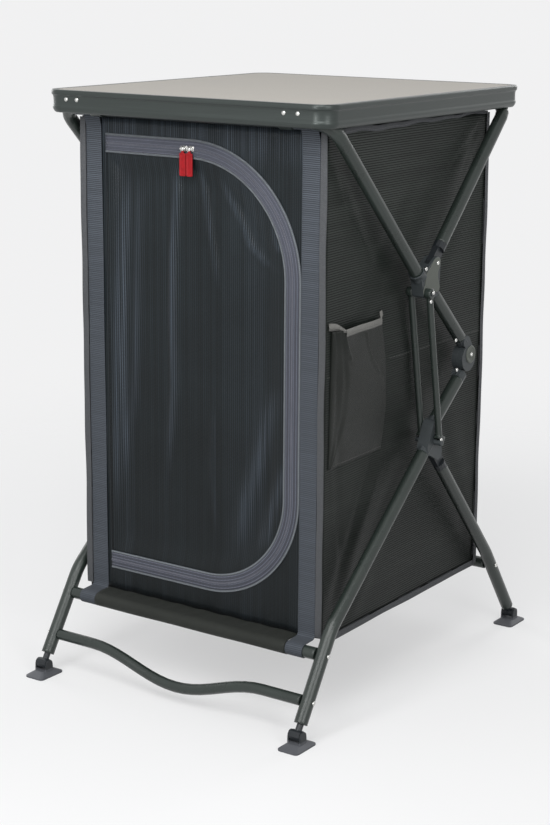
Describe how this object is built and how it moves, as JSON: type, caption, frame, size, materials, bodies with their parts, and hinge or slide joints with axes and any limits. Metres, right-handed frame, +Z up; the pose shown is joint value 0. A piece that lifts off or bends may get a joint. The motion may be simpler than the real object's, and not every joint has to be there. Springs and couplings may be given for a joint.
{
  "type": "fabric camp kitchen cupboard",
  "caption": "Folding camp kitchen cupboard: a zipped fabric cabinet with a shelf, hung in a scissor frame of tubes under a flat rimmed worktop, with locking struts and swivelling feet.",
  "frame": {"origin": "on the ground, under the middle of the whole object", "axes": "+Z up, the zipped front faces -Y, +X to the right of someone facing the front"},
  "size_m": [0.6232, 0.824, 1.075],
  "materials": {
    "tube": "dark grey powder coat, satin",
    "hub": "moulded grey, fine grain",
    "black_plastic": "moulded black, fine grain",
    "rim": "anodised dark grey, brushed along its length",
    "board": "laminated fibreboard, pale grey-beige, matt",
    "mesh": "close black-grey mesh",
    "cloth": "dark grey woven polyester",
    "webbing": "grey woven strap",
    "zip_tape": "grey zip tape",
    "bare_metal": "bare zinc",
    "puller": "soft red moulding"
  },
  "bodies": {
    "cabinet": {"floor_panel": "mesh", "front_panel": "mesh", "back_panel": "cloth", "side_panel_left": "cloth", "side_panel_right": "cloth", "shelf": "mesh", "side_pocket": "cloth", "webbing_left": "webbing", "webbing_right": "webbing", "zip_tape_frame": "zip_tape"},
    "door": {"door_panel": "mesh", "zip_tape_door": "zip_tape"},
    "zip_slider_left": {"zip_slider_left": "bare_metal"},
    "zip_slider_right": {"zip_slider_right": "bare_metal"},
    "zip_puller_left": {"zip_puller_left": "puller"},
    "zip_puller_right": {"zip_puller_right": "puller"},
    "front_legs": {"knee_lower_left": "black_plastic", "knee_lower_right": "black_plastic", "lower_link_left": "tube", "lower_link_right": "tube", "lower_hub_left": "hub", "lower_hub_right": "hub", "front_leg_left": "tube", "front_leg_right": "tube", "front_foot_plug_left": "black_plastic", "front_foot_plug_right": "black_plastic", "front_crossbar": "tube", "wavy_brace": "tube"},
    "rear_legs": {"rear_leg_tongue_left": "black_plastic", "rear_leg_tongue_right": "black_plastic", "rear_leg_left": "tube", "rear_leg_right": "tube", "rear_foot_plug_left": "black_plastic", "rear_foot_plug_right": "black_plastic", "rear_crossbar": "tube"},
    "front_arms": {"front_upper_tube": "tube", "upper_link_left": "tube", "upper_link_right": "tube", "upper_hub_left": "hub", "upper_hub_right": "hub", "knee_upper_left": "hub", "knee_upper_right": "hub"},
    "rear_arms": {"rear_upper_tube": "tube", "rear_arm_tongue_left": "black_plastic", "rear_arm_tongue_right": "black_plastic"},
    "strut_left": {"strut_outer_left": "tube", "strut_inner_left": "tube"},
    "strut_right": {"strut_outer_right": "tube", "strut_inner_right": "tube"},
    "foot_pad_front_left": {"foot_pad_front_left": "black_plastic"},
    "foot_pad_front_right": {"foot_pad_front_right": "black_plastic"},
    "foot_pad_rear_left": {"foot_pad_rear_left": "black_plastic"},
    "foot_pad_rear_right": {"foot_pad_rear_right": "black_plastic"},
    "worktop": {"worktop_board": "board", "worktop_rim": "rim", "worktop_hook_left": "bare_metal", "worktop_hook_right": "bare_metal", "worktop_rest_left": "black_plastic", "worktop_rest_right": "black_plastic"}
  },
  "joints": [
    {"name": "frame_fold", "type": "hinge", "parent": "cabinet", "child": "front_legs", "pos_m": [0, -0.30491, 0.14189], "axis": [-1, 0, 0], "range_deg": [0, 40], "deforming": ["floor_panel", "front_panel", "back_panel", "side_panel_left", "side_panel_right", "shelf", "side_pocket", "webbing_left", "webbing_right", "zip_tape_frame", "door_panel", "zip_tape_door", "zip_slider_left", "zip_slider_right", "zip_puller_left", "zip_puller_right"]},
    {"name": "front_arms_turn", "type": "hinge", "parent": "front_legs", "child": "front_arms", "pos_m": [0, 0.15803, 0.58421], "axis": [1, 0, 0], "range_deg": [0, 80]},
    {"name": "rear_arms_turn", "type": "hinge", "parent": "front_arms", "child": "rear_arms", "pos_m": [0, 0.03111, 0.77701], "axis": [1, 0, 0], "range_deg": [0, 90]},
    {"name": "rear_legs_turn", "type": "hinge", "parent": "front_legs", "child": "rear_legs", "pos_m": [0, 0.05464, 0.42487], "axis": [-1, 0, 0], "range_deg": [0, 81]},
    {"name": "strut_left_turn", "type": "hinge", "parent": "front_arms", "child": "strut_left", "pos_m": [-0.285, -0.0053, 0.72886], "axis": [1, 0, 0], "range_deg": [0, 30]},
    {"name": "strut_right_turn", "type": "hinge", "parent": "front_arms", "child": "strut_right", "pos_m": [0.285, -0.0053, 0.72886], "axis": [1, 0, 0], "range_deg": [0, 30]},
    {"name": "worktop_tilt", "type": "hinge", "parent": "front_arms", "child": "worktop", "pos_m": [0, -0.2985, 1.0444], "axis": [1, 0, 0], "range_deg": [0, 55]},
    {"name": "door_swing", "type": "hinge", "parent": "cabinet", "child": "door", "pos_m": [-0.2055, -0.2745, 0], "axis": [0, 0, -1], "range_deg": [0, 110]},
    {"name": "zip_left_travel", "type": "slide", "parent": "cabinet", "child": "zip_slider_left", "axis": [-1, 0, 0], "range_m": [0, 0.16]},
    {"name": "zip_right_travel", "type": "hinge", "parent": "cabinet", "child": "zip_slider_right", "pos_m": [-0.016, -0.2745, 0.7705], "axis": [0, 1, 0], "range_deg": [0, 85]},
    {"name": "zip_left_pull", "type": "hinge", "parent": "zip_slider_left", "child": "zip_puller_left", "pos_m": [-0.0305, -0.2802, 0.98285], "axis": [-1, 0, 0], "range_deg": [0, 120]},
    {"name": "zip_right_pull", "type": "hinge", "parent": "zip_slider_right", "child": "zip_puller_right", "pos_m": [-0.016, -0.2802, 0.98285], "axis": [-1, 0, 0], "range_deg": [0, 120]},
    {"name": "foot_pad_front_left_tilt", "type": "hinge", "parent": "front_legs", "child": "foot_pad_front_left", "pos_m": [-0.285, -0.381, 0.022], "axis": [1, 0, 0], "range_deg": [-20, 20]},
    {"name": "foot_pad_front_right_tilt", "type": "hinge", "parent": "front_legs", "child": "foot_pad_front_right", "pos_m": [0.285, -0.381, 0.022], "axis": [1, 0, 0], "range_deg": [-20, 20]},
    {"name": "foot_pad_rear_left_tilt", "type": "hinge", "parent": "rear_legs", "child": "foot_pad_rear_left", "pos_m": [-0.285, 0.381, 0.022], "axis": [1, 0, 0], "range_deg": [-20, 20]},
    {"name": "foot_pad_rear_right_tilt", "type": "hinge", "parent": "rear_legs", "child": "foot_pad_rear_right", "pos_m": [0.285, 0.381, 0.022], "axis": [1, 0, 0], "range_deg": [-20, 20]}
  ],
  "couplings": [
    {"joint": "front_arms_turn", "follows": "frame_fold", "ratio": 2},
    {"joint": "rear_arms_turn", "follows": "frame_fold", "ratio": 2.25},
    {"joint": "rear_legs_turn", "follows": "frame_fold", "ratio": 2.025},
    {"joint": "strut_left_turn", "follows": "frame_fold", "ratio": 0.75},
    {"joint": "strut_right_turn", "follows": "frame_fold", "ratio": 0.75},
    {"joint": "worktop_tilt", "follows": "frame_fold", "ratio": 1.375}
  ]
}
